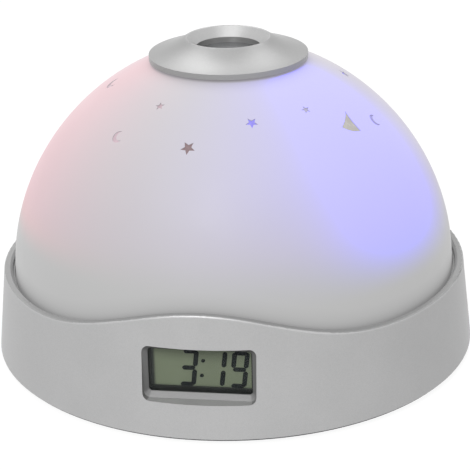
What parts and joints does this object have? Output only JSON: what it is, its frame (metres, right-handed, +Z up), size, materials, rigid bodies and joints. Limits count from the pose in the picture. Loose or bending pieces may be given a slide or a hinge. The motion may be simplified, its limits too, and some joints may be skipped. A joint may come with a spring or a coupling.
{
  "type": "projection alarm clock",
  "caption": "Domed alarm clock: liquid crystal display in a silver ring, frosted lamp dome with clear stars, sprung cap with a projector lens, keys at the back.",
  "frame": {"origin": "on the table, under the middle of the round base", "axes": "+Z up, the display looks along -Y, +X is at the right of someone facing the display"},
  "size_m": [0.115, 0.115, 0.0753],
  "materials": {
    "silver_paint": "satin silver paint on ABS",
    "frosted_plastic": "frosted translucent white, clear stars",
    "dark_plastic": "fine grain",
    "black_plastic": "fine grain",
    "foot_rubber": "matt",
    "white_plastic": "moulded",
    "holder_plastic": "moulded",
    "lens_clear": "polished",
    "pane_clear": "polished",
    "lcd_glass": "grey-green liquid crystal display",
    "slide_film": "printed film",
    "zebra_rubber": "silicone",
    "circuit_board": "solder mask",
    "black_resin": "moulded",
    "bright_metal": "nickel plated",
    "cell_jacket": "plain jacket, stands in for the cells' density",
    "screw_steel": "zinc plated",
    "led_clear": "clear epoxy",
    "led_blue": "tinted epoxy",
    "led_green": "tinted epoxy",
    "led_red": "tinted epoxy"
  },
  "bodies": {
    "clock": {"base_ring": "silver_paint", "dome": "frosted_plastic", "bottom_cover": "dark_plastic", "rubber_feet": "foot_rubber", "inner_deck": "white_plastic", "guide_sleeve": "white_plastic", "lcd_holder": "holder_plastic", "display_window": "pane_clear", "lcd_panel": "lcd_glass", "zebra_strips": "zebra_rubber", "main_board": "circuit_board", "led_board": "circuit_board", "button_board": "circuit_board", "clock_chip": "black_resin", "button_keys": "black_resin", "light_switch": "black_resin", "slide_switch": "black_resin", "buzzer": "black_resin", "crystal": "bright_metal", "batteries": "cell_jacket", "battery_contacts": "bright_metal", "battery_springs": "bright_metal", "return_spring": "bright_metal", "cover_screws": "screw_steel", "main_board_screws": "screw_steel", "led_board_screws": "screw_steel", "button_board_screws": "screw_steel", "led_projector": "led_clear", "led_blue": "led_blue", "led_green": "led_green", "led_red": "led_red"},
    "cap": {"top_cap": "silver_paint", "projector_lens": "lens_clear", "projector_tube": "black_plastic", "cap_retainer": "white_plastic", "pattern_slide": "slide_film", "light_switch_plunger": "white_plastic"},
    "door": {"battery_door": "dark_plastic"},
    "slider": {"mode_slider": "black_plastic"},
    "key_down": {"button_down": "silver_paint"},
    "key_up": {"button_up": "silver_paint"},
    "key_set": {"button_set": "silver_paint"},
    "key_mode": {"button_mode": "silver_paint"}
  },
  "joints": [
    {"name": "cap_press", "type": "slide", "parent": "clock", "child": "cap", "axis": [0, 0, -1], "range_m": [0, 0.0005], "stiffness_N_per_m": 800, "springref_m": -0.001, "deforming": ["return_spring"]},
    {"name": "battery_door_hinge", "type": "hinge", "parent": "clock", "child": "door", "pos_m": [0, 0.02665, 0.00175], "axis": [1, 0, 0], "range_deg": [0, 60]},
    {"name": "mode_slide", "type": "slide", "parent": "clock", "child": "slider", "axis": [0, 1, 0], "range_m": [0, 0.004]},
    {"name": "down_press", "type": "slide", "parent": "clock", "child": "key_down", "axis": [0, -1, 0], "range_m": [0, 0.0005], "stiffness_N_per_m": 1500, "springref_m": -0.0004},
    {"name": "up_press", "type": "slide", "parent": "clock", "child": "key_up", "axis": [0, -1, 0], "range_m": [0, 0.0005], "stiffness_N_per_m": 1500, "springref_m": -0.0004},
    {"name": "set_press", "type": "slide", "parent": "clock", "child": "key_set", "axis": [0, -1, 0], "range_m": [0, 0.0005], "stiffness_N_per_m": 1500, "springref_m": -0.0004},
    {"name": "mode_press", "type": "slide", "parent": "clock", "child": "key_mode", "axis": [0, -1, 0], "range_m": [0, 0.0005], "stiffness_N_per_m": 1500, "springref_m": -0.0004}
  ]
}
